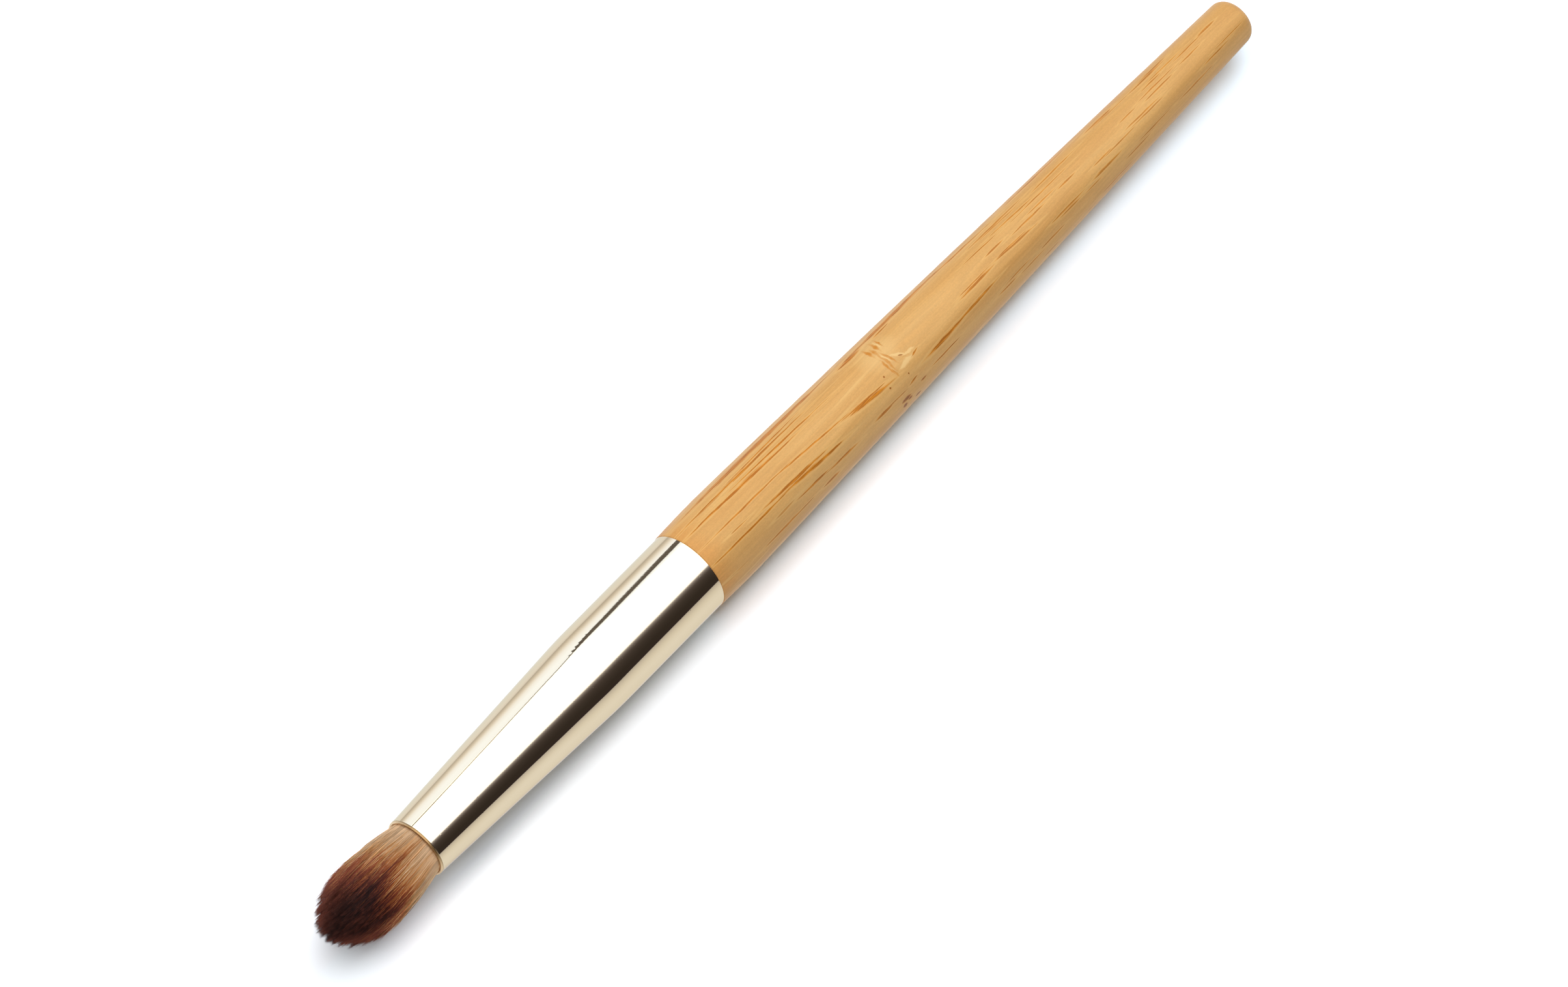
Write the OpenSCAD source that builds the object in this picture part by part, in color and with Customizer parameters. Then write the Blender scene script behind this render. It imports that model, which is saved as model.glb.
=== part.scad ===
// A round eyeshadow brush that lies along X, with its hair at -X, its handle at +X and +Z up.
// The origin is on the table, below the middle of the brush. The widest part of the handle
// touches the table at Z = 0.
// Every piece is drawn upright first. There Z = 0 is the ferrule's mouth and +Z points to the
// handle's end. lay_down() then lays it on its side.

/* [Hair] */
// Length of the hair outside the ferrule
hair_len = 14.9; // [13:0.1:20]
// Widest diameter of the hair
belly_d = 8.75; // [7.6:0.05:10]
// Distance from the ferrule's mouth to the hair's widest place
belly_h = 8.1; // [5:0.1:11]
// Rings of strands. Ring k holds 6 k strands
strand_rings = 10; // [8:1:11]
// Length of the packed hair inside the ferrule
root_len = 15; // [14:0.5:20]

/* [Ferrule] */
// Outside diameter at the mouth
mouth_d = 7.75; // [7:0.05:9]
// Outside diameter of the straight stretch next to the handle
band_d = 10.4; // [9.5:0.05:12]
// Length of the cone, with the bend that leads into the straight stretch
cone_len = 31.5; // [26:0.5:45]
// Length of that bend
bend_len = 4; // [1:0.5:10]
// Length of the straight stretch, where a holder's ring fits
band_len = 15.5; // [10:0.5:25]
// Thickness of the metal
tube_wall = 0.25; // [0.2:0.05:0.5]
// Diameter of the rolled bead round the mouth
lip_d = 0.3; // [0.25:0.05:0.6]

/* [Handle] */
// Length of the handle outside the ferrule
grip_len = 101.5; // [80:0.5:140]
// Height of the shoulder above the ferrule's outside
shoulder_step = 0.05; // [0:0.05:0.5]
// Diameter at the widest place
grip_d = 10.75; // [10.6:0.05:13]
// Distance from the shoulder to the widest place
swell_len = 6.5; // [3:0.5:15]
// Diameter that the taper reaches at the end
end_d = 5.9; // [4:0.1:8]
// Rounding of the end's rim
end_round = 1.4; // [0.5:0.1:1.9]
// Bevel round the shoulder's edge
edge_bevel = 0.12; // [0.05:0.01:0.4]
// Distance from the tenon's end to the ferrule's cone
tenon_relief = 0.5; // [0.5:0.5:3]
// Bevel round the tenon's end
tenon_bevel = 0.5; // [0.2:0.1:1]
// Number of glue grooves turned into the tenon
groove_count = 3; // [1:1:4]
// Width of a glue groove
groove_w = 1; // [0.5:0.1:1.5]
// Depth of a glue groove
groove_depth = 0.35; // [0.2:0.05:0.8]

/* [Binding and glue] */
// Thickness of the binding thread
thread_d = 0.3; // [0.2:0.05:0.4]
// Turns of thread round the hair's roots
thread_turns = 10; // [5:1:12]
// Distance from the last turn to the end of the roots
butt_len = 2.7; // [1.5:0.1:4]
// How far the thread draws the hair in
thread_squeeze = 0.28; // [0.2:0.02:0.4]
// Length over which the hair narrows to the thread
squeeze_len = 0.5; // [0.3:0.1:1]
// Gap between the packed hair and what surrounds it
hair_gap = 0.05; // [0.02:0.01:0.2]
// Thickness of the glue film round the tenon
glue_film = 0.1; // [0.05:0.05:0.2]
// Distance from the front of the root glue to the first turn
glue_front = 1.5; // [0.5:0.1:3]
// Thickness of the glue behind the hair's roots
glue_back = 4; // [2:0.5:8]
// Hollow of the glue's back face at its middle
glue_hollow = 0.6; // [0.1:0.1:1.5]

/* [Hidden] */

// Facets of a whole turn, and of the small rounds in an outline
turn_facets = 96;
round_facets = 32;
// Straight steps along a bend, the swell, the taper and the glue's hollow
bend_steps = 6;
swell_steps = 4;
taper_steps = 20;
hollow_steps = 6;
// The taper's drop grows with this power of the way along it, and a power above 1 bows it out
taper_power = 1.12;
// The hair's dome: radius = belly * (1 - way ^ dome_power) ^ dome_root
dome_power = 1.79;
dome_root = 0.57;
// How much the hair draws together between its belly and its tip
closing_share = 0.2;
// Places of a strand's bends along its length, and its girth there as a share of its cell
bend_shares = [0.2, 0.45, 0.78];
girth_shares = [0.86, 0.76, 0.56];
// The most by which a strand is shorter than the dome, and the step from one strand to the next
scatter_share = 0.05;
scatter_step_share = 0.618;
// Steps that settle a strand's length on the dome
settling_steps = 5;
// Distance between turns of the thread, as a share of its thickness, and the corners of a turn
turn_pitch_share = 0.93;
turn_angles = [-50, 0, 50];

ferrule_len = cone_len + band_len;
whole_len = hair_len + ferrule_len + grip_len;
mouth_x = hair_len - whole_len / 2;
axis_z = grip_d / 2;
band_r = band_d / 2;
shoulder_r = band_r + shoulder_step;
grip_r = grip_d / 2;
end_r = end_d / 2;
handle_end = ferrule_len + grip_len;
swell_end = ferrule_len + swell_len;
bore_r = band_r - tube_wall;
tenon_r = bore_r - glue_film;
tenon_start = cone_len + tenon_relief;
tenon_len = ferrule_len - tenon_start;
groove_pitch = tenon_len / (groove_count + 1);
cone_slope = (band_r - mouth_d / 2) / (cone_len - bend_len / 2);
bend_start = cone_len - bend_len;
lip_r = lip_d / 2;
mouth_gap_r = outside_r(lip_r) - lip_d;
hair_r = mouth_gap_r - hair_gap;
waist_r = hair_r - thread_squeeze;
turn_pitch = thread_d * turn_pitch_share;
thread_end = root_len - butt_len;
thread_start = thread_end - turn_pitch * (thread_turns - 1) - thread_d;
glue_bore_r = max(hair_r, waist_r + thread_d) + hair_gap;
glue_start = thread_start - glue_front;
glue_end = root_len + glue_back;
belly_spread = belly_d / 2 / hair_r;

// Radius of the ferrule's outside at distance z from the mouth
function outside_r(z) =
    z <= bend_start ? mouth_d / 2 + cone_slope * z
    : z < cone_len ? band_r - cone_slope * pow(cone_len - z, 2) / (2 * bend_len)
    : band_r;

// Distances from the mouth between low and high where the ferrule's outline has a corner
function corners(low, high) = [
    low,
    for (i = [0 : bend_steps])
        let (z = bend_start + bend_len * i / bend_steps)
        if (z > low && z < high) z,
    high
];

// Radius of the handle at distance z from the mouth
function grip_at(z) =
    z < swell_end
    ? shoulder_r + (grip_r - shoulder_r) * sin(90 * (z - ferrule_len) / swell_len)
    : grip_r - (grip_r - end_r) * pow((z - swell_end) / (handle_end - swell_end), taper_power);

// Lays an upright piece along X, with the handle's widest part on the table
module lay_down() {
    translate([mouth_x, 0, axis_z]) rotate([0, 90, 0]) children();
}

module turned() {
    rotate_extrude($fn = turn_facets) children();
}

// Handle: bamboo, turned in one piece with its shoulder and the tenon that goes into the ferrule
module handle() {
    color("burlywood") lay_down() turned() difference() {
        union() {
            handle_outline();
            end_outline();
        }
        for (i = [1 : groove_count])
            translate([tenon_r - groove_depth, tenon_start + groove_pitch * i - groove_w / 2])
                square([groove_depth + glue_film, groove_w]);
    }
}

module handle_outline() {
    round_start = handle_end - end_round;
    bevel_end = ferrule_len + edge_bevel;
    swell = [for (i = [0 : swell_steps]) bevel_end + (swell_end - bevel_end) * i / swell_steps];
    taper = [for (i = [1 : taper_steps]) swell_end + (round_start - swell_end) * i / taper_steps];
    polygon([
        [0, tenon_start],
        [tenon_r - tenon_bevel, tenon_start],
        [tenon_r, tenon_start + tenon_bevel],
        [tenon_r, ferrule_len],
        [shoulder_r - edge_bevel, ferrule_len],
        for (z = concat(swell, taper)) [grip_at(z), z],
        [0, round_start]
    ]);
}

// The handle's end: a quarter round at the rim, and a flat disc inside it
module end_outline() {
    round_start = handle_end - end_round;
    middle_r = grip_at(round_start) - end_round;
    translate([0, round_start]) square([middle_r, end_round]);
    intersection() {
        translate([middle_r, round_start]) circle(end_round, $fn = round_facets);
        translate([middle_r, round_start]) square([end_round, end_round]);
    }
}

// Ferrule: one drawn metal tube, a cone and a straight stretch, with a rolled bead at its mouth
module ferrule() {
    zs = corners(lip_r, ferrule_len);
    color([0.91, 0.86, 0.76]) lay_down() turned() {
        polygon([
            for (z = zs) [outside_r(z), z],
            for (i = [len(zs) - 1 : -1 : 0]) [outside_r(zs[i]) - tube_wall, zs[i]]
        ]);
        translate([outside_r(lip_r) - lip_r, lip_r]) circle(lip_r, $fn = round_facets);
    }
}

// Binding thread: its turns lie side by side round the waist of the hair's roots. Each turn's
// back has a corner at every one of turn_angles
module binding_thread() {
    thread_r = thread_d / 2;
    color("ivory") lay_down() turned()
        polygon([
            [waist_r, thread_start],
            for (i = [0 : thread_turns - 1])
                for (angle = turn_angles)
                    [
                        waist_r + thread_r + thread_r * cos(angle),
                        thread_start + thread_r + turn_pitch * i + thread_r * sin(angle)
                    ],
            [waist_r, thread_end]
        ]);
}

// Root glue: fills the ferrule round the bound roots and behind them
module root_glue() {
    back = [for (i = [0 : hollow_steps]) i / hollow_steps];
    back_r = outside_r(glue_end) - tube_wall;
    zs = corners(glue_start, glue_end);
    color("goldenrod") lay_down() turned()
        polygon([
            [glue_bore_r, root_len],
            [glue_bore_r, glue_start],
            for (z = zs) [outside_r(z) - tube_wall, z],
            for (share = back)
                if (share > 0)
                    [back_r * (1 - share), glue_end - glue_hollow * sin(90 * share)],
            [0, root_len]
        ]);
}

// Tenon glue: a thin sleeve between tenon and ferrule that fills the tenon's grooves
module tenon_glue() {
    sleeve_start = tenon_start + tenon_bevel;
    color("wheat") lay_down() turned() {
        translate([tenon_r, sleeve_start]) square([glue_film, ferrule_len - sleeve_start]);
        for (i = [1 : groove_count])
            translate([tenon_r - groove_depth, tenon_start + groove_pitch * i - groove_w / 2])
                square([groove_depth + glue_film, groove_w]);
    }
}

// Bristles: strands of three sides that stand on a disc of triangular cells, and the packed
// roots below the disc. They are drawn with +Z out of the mouth, and then turned over.
module bristles() {
    color("saddlebrown") lay_down() rotate([180, 0, 0])
        polyhedron(
            points = concat(flat_points, strand_points, root_points, [[0, 0, -root_len]]),
            faces = concat(gap_faces, strand_faces, root_faces, butt_faces)
        );
}

// The disc's points: one in the middle, and 6 k on ring k
function ring_first(k) = k == 0 ? 0 : 1 + 3 * k * (k - 1);
function ring_size(k) = max(6 * k, 1);
function disc_point(k, j) = ring_first(k) + j % ring_size(k);
function round_point(r, j, count) = [r * cos(360 * j / count), r * sin(360 * j / count)];
disc = [
    for (k = [0 : strand_rings])
        for (j = [0 : ring_size(k) - 1]) round_point(hair_r * k / strand_rings, j, ring_size(k))
];
flat_points = [for (p = disc) [p.x, p.y, 0]];

// The cells that carry strands have their wide side out, and the cells between them are gaps
cells = [
    for (k = [1 : strand_rings])
        for (side = [0 : 5])
            for (i = [0 : k - 1])
                [
                    disc_point(k, side * k + i),
                    disc_point(k, side * k + i + 1),
                    disc_point(k - 1, side * (k - 1) + i)
                ]
];
gap_faces = [
    for (k = [2 : strand_rings])
        for (side = [0 : 5])
            for (i = [0 : k - 2])
                [
                    disc_point(k - 1, side * (k - 1) + i),
                    disc_point(k - 1, side * (k - 1) + i + 1),
                    disc_point(k, side * k + i + 1)
                ]
];

// How far the hair has spread at height h above the mouth, as a scale of the disc
function spread(h) =
    h < belly_h
    ? 1 + (belly_spread - 1) * sin(90 * h / belly_h)
    : belly_spread * (1 - closing_share * pow((h - belly_h) / (hair_len - belly_h), 2));

// Height of the dome at radius r
function dome_h(r) =
    belly_h + (hair_len - belly_h)
    * pow(1 - pow(min(2 * r / belly_d, 1), 1 / dome_root), 1 / dome_power);

// Height at which a strand that stands at radius r of the disc meets the dome
function tip_h(r, h = belly_h, steps = settling_steps) =
    steps < 1 ? h : tip_h(r, dome_h(r * spread(h)), steps - 1);

function cell_middle(cell) = (disc[cell[0]] + disc[cell[1]] + disc[cell[2]]) / 3;
function fraction(x) = x - floor(x);
function strand_h(i) =
    tip_h(norm(cell_middle(cells[i]))) * (1 - scatter_share * fraction(i * scatter_step_share));

bends = len(bend_shares);
points_per_strand = 3 * bends + 1;
strand_points = [
    for (i = [0 : len(cells) - 1])
        let (middle = cell_middle(cells[i]), top = strand_h(i))
        each [
            for (b = [0 : bends - 1])
                let (h = top * bend_shares[b])
                for (corner = cells[i])
                    let (p = spread(h) * (middle + girth_shares[b] * (disc[corner] - middle)))
                    [p.x, p.y, h],
            [spread(top) * middle.x, spread(top) * middle.y, top]
        ]
];

// Number of a strand's corner at a bend, where bend -1 is its cell of the disc
function strand_point(i, bend, corner) =
    bend < 0
    ? cells[i][corner % 3]
    : len(disc) + i * points_per_strand + 3 * bend + corner % 3;
strand_faces = [
    for (i = [0 : len(cells) - 1])
        let (tip = len(disc) + (i + 1) * points_per_strand - 1)
        each [
            for (b = [-1 : bends - 2])
                for (c = [0 : 2])
                    each [
                        [strand_point(i, b, c), strand_point(i, b + 1, c), strand_point(i, b, c + 1)],
                        [strand_point(i, b + 1, c), strand_point(i, b + 1, c + 1), strand_point(i, b, c + 1)]
                    ],
            for (c = [0 : 2])
                [strand_point(i, bends - 1, c), tip, strand_point(i, bends - 1, c + 1)]
        ]
];

// The packed roots: their outline from just below the disc to the butt, drawn in by the thread
root_outline = [
    [hair_r, thread_start - squeeze_len],
    [waist_r, thread_start],
    [waist_r, thread_end],
    [hair_r, thread_end + squeeze_len],
    [hair_r, root_len]
];
rim_count = ring_size(strand_rings);
first_root = len(disc) + len(strand_points);
butt_middle = first_root + len(root_outline) * rim_count;
root_points = [
    for (step = root_outline)
        for (j = [0 : rim_count - 1])
            let (p = round_point(step[0], j, rim_count)) [p.x, p.y, -step[1]]
];
function root_point(step, j) =
    step < 0 ? disc_point(strand_rings, j) : first_root + step * rim_count + j % rim_count;
root_faces = [
    for (s = [-1 : len(root_outline) - 2])
        for (j = [0 : rim_count - 1])
            each [
                [root_point(s + 1, j), root_point(s, j), root_point(s, j + 1)],
                [root_point(s + 1, j), root_point(s, j + 1), root_point(s + 1, j + 1)]
            ]
];
butt_faces = [
    for (j = [0 : rim_count - 1])
        [butt_middle, root_point(len(root_outline) - 1, j), root_point(len(root_outline) - 1, j + 1)]
];

handle();
ferrule();
bristles();
binding_thread();
root_glue();
tenon_glue();
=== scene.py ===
"""The looks of a round eyeshadow brush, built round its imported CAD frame.

The brush lies along X with its hair at -X, its handle at +X and +Z up. Blender's lengths are in
metres. A name that ends in _mm holds millimetres, and one that ends in _deg holds degrees.
"""

import logging
import math
from collections.abc import Callable, Sequence
from dataclasses import dataclass, field
from enum import Enum
from functools import partial
from typing import Any

import bmesh
import bpy
import numpy as np
from mathutils import Matrix, Vector


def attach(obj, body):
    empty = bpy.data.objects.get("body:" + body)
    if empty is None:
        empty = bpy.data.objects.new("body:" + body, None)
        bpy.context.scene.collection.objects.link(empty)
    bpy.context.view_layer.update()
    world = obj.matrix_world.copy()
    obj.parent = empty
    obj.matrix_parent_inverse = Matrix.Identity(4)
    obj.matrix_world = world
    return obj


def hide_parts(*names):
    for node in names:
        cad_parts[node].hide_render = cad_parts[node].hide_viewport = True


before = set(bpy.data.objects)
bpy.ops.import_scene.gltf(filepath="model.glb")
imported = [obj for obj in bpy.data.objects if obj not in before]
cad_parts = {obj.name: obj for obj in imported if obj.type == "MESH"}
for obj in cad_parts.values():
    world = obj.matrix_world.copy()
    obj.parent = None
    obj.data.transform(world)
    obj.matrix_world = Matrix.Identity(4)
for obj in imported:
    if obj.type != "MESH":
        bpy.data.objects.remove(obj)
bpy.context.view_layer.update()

log = logging.getLogger("brush")

MM = 0.001
BODY = "root"

# Places along the brush, in millimetres of the row frame
MOUTH_X_MM = -66.8
AXIS_Z_MM = 5.375

# Unit vectors square to the brush's axis: the side that the photograph shows, and across it
SHOWN_SIDE = (0.0, -0.394, 0.919)
ACROSS = (0.0, -0.919, -0.394)

# The setting that gives a range soft ends
SOFT = {"interpolation_type": "SMOOTHSTEP"}

# A function that adds nodes to one tree, and what can be linked to a socket
Adder = Callable[..., bpy.types.Node]
Source = bpy.types.Node | bpy.types.NodeSocket

# A colour ramp's places, each with a plain value or with linear light
ValueStops = tuple[tuple[float, float], ...]
LightStops = tuple[tuple[float, tuple[float, float, float]], ...]


class Node(Enum):
    """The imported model's nodes that keep their own mesh."""

    HANDLE = "handle"
    FERRULE = "ferrule"
    THREAD = "binding_thread"
    ROOT_GLUE = "root_glue"
    TENON_GLUE = "tenon_glue"


def linear(colour: str) -> tuple[float, float, float, float]:
    """Turns an sRGB hex colour to linear light.

    Args:
        colour: Six hex digits after a hash.

    Returns:
        Red, green, blue and alpha.
    """
    values = []
    for start in (1, 3, 5):
        share = int(colour[start : start + 2], 16) / 255
        values.append(share / 12.92 if share <= 0.04045 else ((share + 0.055) / 1.055) ** 2.4)
    return (*values, 1.0)


def add(
    tree: bpy.types.NodeTree,
    kind: str,
    inputs: dict[str | int, Any] | None = None,
    stops: Sequence[tuple[float, Any]] = (),
    **settings: Any,
) -> bpy.types.Node:
    """Adds a node with its settings and its links.

    Args:
        tree: The tree that gets the node.
        kind: The node's class without ShaderNode at its start.
        inputs: Sockets by name or by number. A node or a socket is linked, a value is set, and a
            hex colour is turned to linear light.
        stops: A colour ramp's places, each with a hex colour, linear light or a plain value.
        settings: The node's own settings.

    Returns:
        The new node.
    """
    node = tree.nodes.new("ShaderNode" + kind)
    for name, value in settings.items():
        setattr(node, name, value)
    if stops:
        elements = node.color_ramp.elements
        while len(elements) < len(stops):
            elements.new(1.0)
        for element, (place, colour) in zip(elements, stops):
            element.position = place
            if isinstance(colour, float):
                colour = (colour,) * 3
            element.color = linear(colour) if isinstance(colour, str) else (*colour, 1.0)
    for key, value in (inputs or {}).items():
        if isinstance(key, int):
            socket = node.inputs[key]
        else:
            socket = next(s for s in node.inputs if s.enabled and s.name == key)
        if isinstance(value, bpy.types.Node):
            value = next(s for s in value.outputs if s.enabled)
        if isinstance(value, bpy.types.NodeSocket):
            tree.links.new(value, socket)
        else:
            socket.default_value = linear(value) if isinstance(value, str) else value
    return node


def new_material(name: str) -> tuple[bpy.types.Material, Adder]:
    """Makes an empty material.

    Args:
        name: The material's name.

    Returns:
        The material and the function that adds nodes to it.
    """
    material = bpy.data.materials.new(name)
    material.use_nodes = True
    material.node_tree.nodes.clear()
    return material, partial(add, material.node_tree)


def brush_place(node: Adder) -> bpy.types.Node:
    """Adds the place on the brush, in millimetres from its axis.

    Args:
        node: Adds nodes to the material.

    Returns:
        The node that gives the place.
    """
    own = node("TexCoord").outputs["Object"]
    to_axis = (0.0, 0.0, -AXIS_Z_MM)
    return node("Mapping", {"Vector": own, "Location": to_axis, "Scale": (1 / MM,) * 3})


def side_parts(node: Adder, place: Source) -> list[bpy.types.NodeSocket]:
    """Adds how far a place lies across the brush and how far towards its shown side.

    Args:
        node: Adds nodes to the material.
        place: The place on the brush.

    Returns:
        The sockets that give the two distances.
    """
    return [
        node("VectorMath", {0: place, 1: way}, operation="DOT_PRODUCT").outputs["Value"]
        for way in (ACROSS, SHOWN_SIDE)
    ]


def by_ray(node: Adder, plain: Source, mirrored: Source, seen: Source) -> bpy.types.Node:
    """Adds a choice among shaders by the ray that meets them.

    Args:
        node: Adds nodes to the tree.
        plain: What lights other things.
        mirrored: What gloss shows.
        seen: What the camera sees.

    Returns:
        The node that gives the shader.
    """
    ray = node("LightPath").outputs
    unseen = node("MixShader", {"Fac": ray["Is Glossy Ray"], 1: plain, 2: mirrored})
    return node("MixShader", {"Fac": ray["Is Camera Ray"], 1: unseen, 2: seen})


def link_object(name: str, mesh: bpy.types.ID) -> bpy.types.Object:
    """Puts a mesh or a curve in the scene.

    Args:
        name: The piece's name.
        mesh: Its mesh or curve, in place.

    Returns:
        The new object, at the origin.
    """
    piece = bpy.data.objects.new(name, mesh)
    bpy.context.scene.collection.objects.link(piece)
    return piece


@dataclass(frozen=True)
class Mark:
    """One long or round mark on the handle, pointed at both ends.

    Its place is a distance along X and a turn in radians from the shown side. It slants by slope
    radians for each millimetre along X.
    """

    x_mm: float
    turn: float
    half_len_mm: float
    half_turn: float
    slope: float = 0.0


@dataclass(frozen=True)
class LacqueredBamboo:
    """Bamboo turned on a lathe, sanded and sealed with a satin lacquer.

    The eye gets honey-coloured ground tissue, sandy at close range, and the vessel bundles that
    the turning cuts at a slant, which show as orange-brown dashes with a pale side. A culm's joint
    leaves a scar of wavy ridges and some dark pits. The dashes are long on the ferrule's side of
    the joint and short on its other side.
    """

    ground: str = "#D2A160"
    ground_light: str = "#D8AA6A"
    ground_dark: str = "#CA9757"
    stained: str = "#D0924C"
    pale_side: str = "#E3BA76"
    dash: str = "#CE7E12"
    dash_dark: str = "#A45C0A"
    scar_pale: str = "#E8C486"
    scar_line: str = "#C68232"
    knot: str = "#A85C08"
    pit: str = "#7A3E06"
    roughness: float = 0.42
    gloss: float = 0.22
    coat: float = 0.04
    coat_roughness: float = 0.3
    grain_mm: float = 0.16
    drift_mm: float = 1.8
    tear: float = 1.8
    # Where a dash's parts have faded and where they are full: 0 is its middle, 1 its outline
    core_reach: tuple[float, float] = (1.3, 0.65)
    side_reach: tuple[float, float] = (3.0, 1.6)
    haze_reach: tuple[float, float] = (2.1, 0.9)
    side_strength: float = 0.5
    haze_strength: float = 0.3
    joint_x_mm: float = 15.5
    long_cell_mm: tuple[float, float] = (22.0, 1.25)
    short_cell_mm: tuple[float, float] = (7.5, 0.56)
    core_r_mm: tuple[float, float] = (0.1, 0.2)
    side_growth: float = 2.2
    edge_turn: float = 0.3
    edge_half_turn: float = 0.55
    edge_mm: float = 0.14
    line_deep_mm: float = 0.03
    pit_deep_mm: float = 0.02
    sand_mm: float = 0.005
    dashes: tuple[Mark, ...] = (
        Mark(-8.25, -0.77, 12.0, 0.024, 0.001),
        Mark(-4.25, -0.85, 6.5, 0.020, -0.004),
        Mark(-3.25, -0.59, 8.5, 0.020, 0.004),
        Mark(-9.75, -0.51, 10.0, 0.028, 0.005),
        Mark(-11.25, -0.125, 7.5, 0.016, 0.002),
        Mark(-0.25, -0.03, 7.0, 0.018, 0.014),
        Mark(9.45, 0.19, 3.8, 0.042, 0.02),
        Mark(8.25, 0.115, 3.5, 0.020, 0.012),
        Mark(-12.75, 0.30, 7.5, 0.020, 0.001),
        Mark(-1.75, 0.35, 5.5, 0.034, 0.013),
        Mark(-4.75, 0.235, 5.5, 0.030, 0.007),
        Mark(-2.85, 0.645, 2.8, 0.024, 0.008),
        Mark(2.45, 0.73, 3.0, 0.026, 0.01),
        Mark(-8.25, 0.92, 4.5, 0.024, 0.002),
        Mark(-0.25, 0.96, 1.6, 0.036, 0.004),
        Mark(-4.25, -1.1, 13.0, 0.075, -0.002),
        Mark(12.05, -0.975, 2.0, 0.050),
        Mark(20.25, -1.1, 9.0, 0.065, -0.006),
        Mark(17.25, -0.93, 1.5, 0.022, -0.01),
        Mark(9.75, 0.70, 1.6, 0.030, 0.005),
        Mark(15.45, 0.66, 0.8, 0.022, -0.03),
        Mark(17.5, 0.16, 0.8, 0.018, -0.04),
        Mark(22.05, 0.47, 3.9, 0.046, -0.006),
        Mark(27.75, 0.415, 4.5, 0.030, -0.008),
        Mark(21.05, 0.79, 2.6, 0.022),
        Mark(29.75, 0.05, 3.2, 0.030, -0.002),
        Mark(37.75, -0.84, 5.0, 0.026),
        Mark(47.75, -0.73, 4.2, 0.026, -0.004),
        Mark(44.25, -0.48, 5.5, 0.018),
        Mark(37.25, 0.045, 3.8, 0.026, 0.013),
        Mark(45.75, 0.41, 3.2, 0.024),
        Mark(53.25, 0.40, 2.9, 0.034),
        Mark(41.75, 0.75, 2.2, 0.026),
        Mark(57.25, -0.97, 2.8, 0.045),
        Mark(68.25, -0.63, 3.6, 0.022),
        Mark(65.75, -0.35, 3.2, 0.022),
        Mark(61.4, 0.035, 3.2, 0.026, 0.004),
        Mark(62.2, 0.12, 3.0, 0.020, 0.004),
        Mark(61.8, 0.64, 3.2, 0.018),
        Mark(58.4, 0.76, 2.4, 0.024),
        Mark(70.0, 0.68, 3.2, 0.030),
        Mark(74.5, 0.42, 2.6, 0.024),
        Mark(32.0, -1.07, 6.0, 0.032, 0.008),
        Mark(46.5, -1.17, 6.4, 0.045),
        Mark(37.9, -0.765, 4.0, 0.016, 0.008),
        Mark(39.6, -0.59, 4.2, 0.020, 0.008),
        Mark(33.4, -0.55, 3.0, 0.015, 0.006),
        Mark(34.7, -0.27, 1.7, 0.024),
        Mark(43.5, -0.27, 2.8, 0.018, 0.004),
        Mark(40.7, -0.17, 3.4, 0.020, 0.003),
        Mark(47.8, -0.17, 1.7, 0.022),
        Mark(29.6, -0.02, 2.8, 0.014),
        Mark(36.6, -0.01, 2.6, 0.016, 0.008),
        Mark(46.0, 0.49, 2.2, 0.020),
        Mark(50.3, 0.53, 1.7, 0.014),
        Mark(53.4, 0.105, 1.9, 0.020),
        Mark(56.6, 0.155, 3.0, 0.018),
        Mark(59.0, -0.87, 3.6, 0.018, 0.004),
        Mark(66.0, -0.86, 3.4, 0.042),
        Mark(67.3, -0.95, 2.4, 0.030),
        Mark(65.6, -0.545, 1.8, 0.022),
        Mark(72.0, -0.50, 2.5, 0.022),
        Mark(76.0, -0.55, 1.6, 0.040),
        Mark(59.8, -0.28, 1.5, 0.018),
        Mark(65.4, -0.19, 2.4, 0.026),
        Mark(71.6, -0.255, 2.0, 0.024),
        Mark(77.5, 0.295, 2.8, 0.018),
        Mark(35.3, 0.705, 2.6, 0.018),
        Mark(33.0, 0.80, 1.9, 0.022),
        Mark(37.8, 0.85, 2.4, 0.018),
        Mark(54.0, 1.065, 3.0, 0.026),
        Mark(41.0, 1.13, 1.8, 0.028),
    )
    scar_lines: tuple[Mark, ...] = (
        Mark(13.7, -0.65, 0.30, 0.23),
        Mark(14.25, -0.56, 0.34, 0.17),
        Mark(14.95, -0.66, 0.30, 0.21),
        Mark(15.65, -0.69, 0.14, 0.19),
        Mark(14.25, -0.17, 0.20, 0.40, -0.4),
        Mark(13.8, -0.05, 0.17, 0.30),
        Mark(14.0, 0.18, 0.13, 0.24, -1.65),
        Mark(14.9, -0.2, 0.13, 0.42, -1.3),
    )
    scar_ridges: tuple[Mark, ...] = (
        Mark(15.35, -0.66, 0.14, 0.21),
        Mark(14.55, -0.25, 0.12, 0.26, -0.8),
        Mark(15.85, -0.11, 1.1, 0.06, 0.14),
        Mark(17.15, 0.03, 1.1, 0.05, 0.03),
        Mark(15.95, 0.18, 1.5, 0.08, -0.02),
    )
    scar_glow: Mark = Mark(14.35, -0.5, 3.6, 0.75)
    spots: tuple[Mark, ...] = (
        Mark(12.55, 0.054, 0.16, 0.045),
        Mark(12.25, 0.355, 0.18, 0.04),
        Mark(16.05, -0.04, 0.34, 0.025, 0.12),
        Mark(15.35, 0.43, 0.13, 0.04),
        Mark(13.55, 0.93, 1.1, 0.08),
        Mark(13.25, 1.10, 0.5, 0.09),
        Mark(14.25, 1.02, 0.5, 0.06),
        Mark(16.95, 0.865, 0.7, 0.055),
        Mark(15.65, 1.18, 0.65, 0.06),
    )

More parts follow.
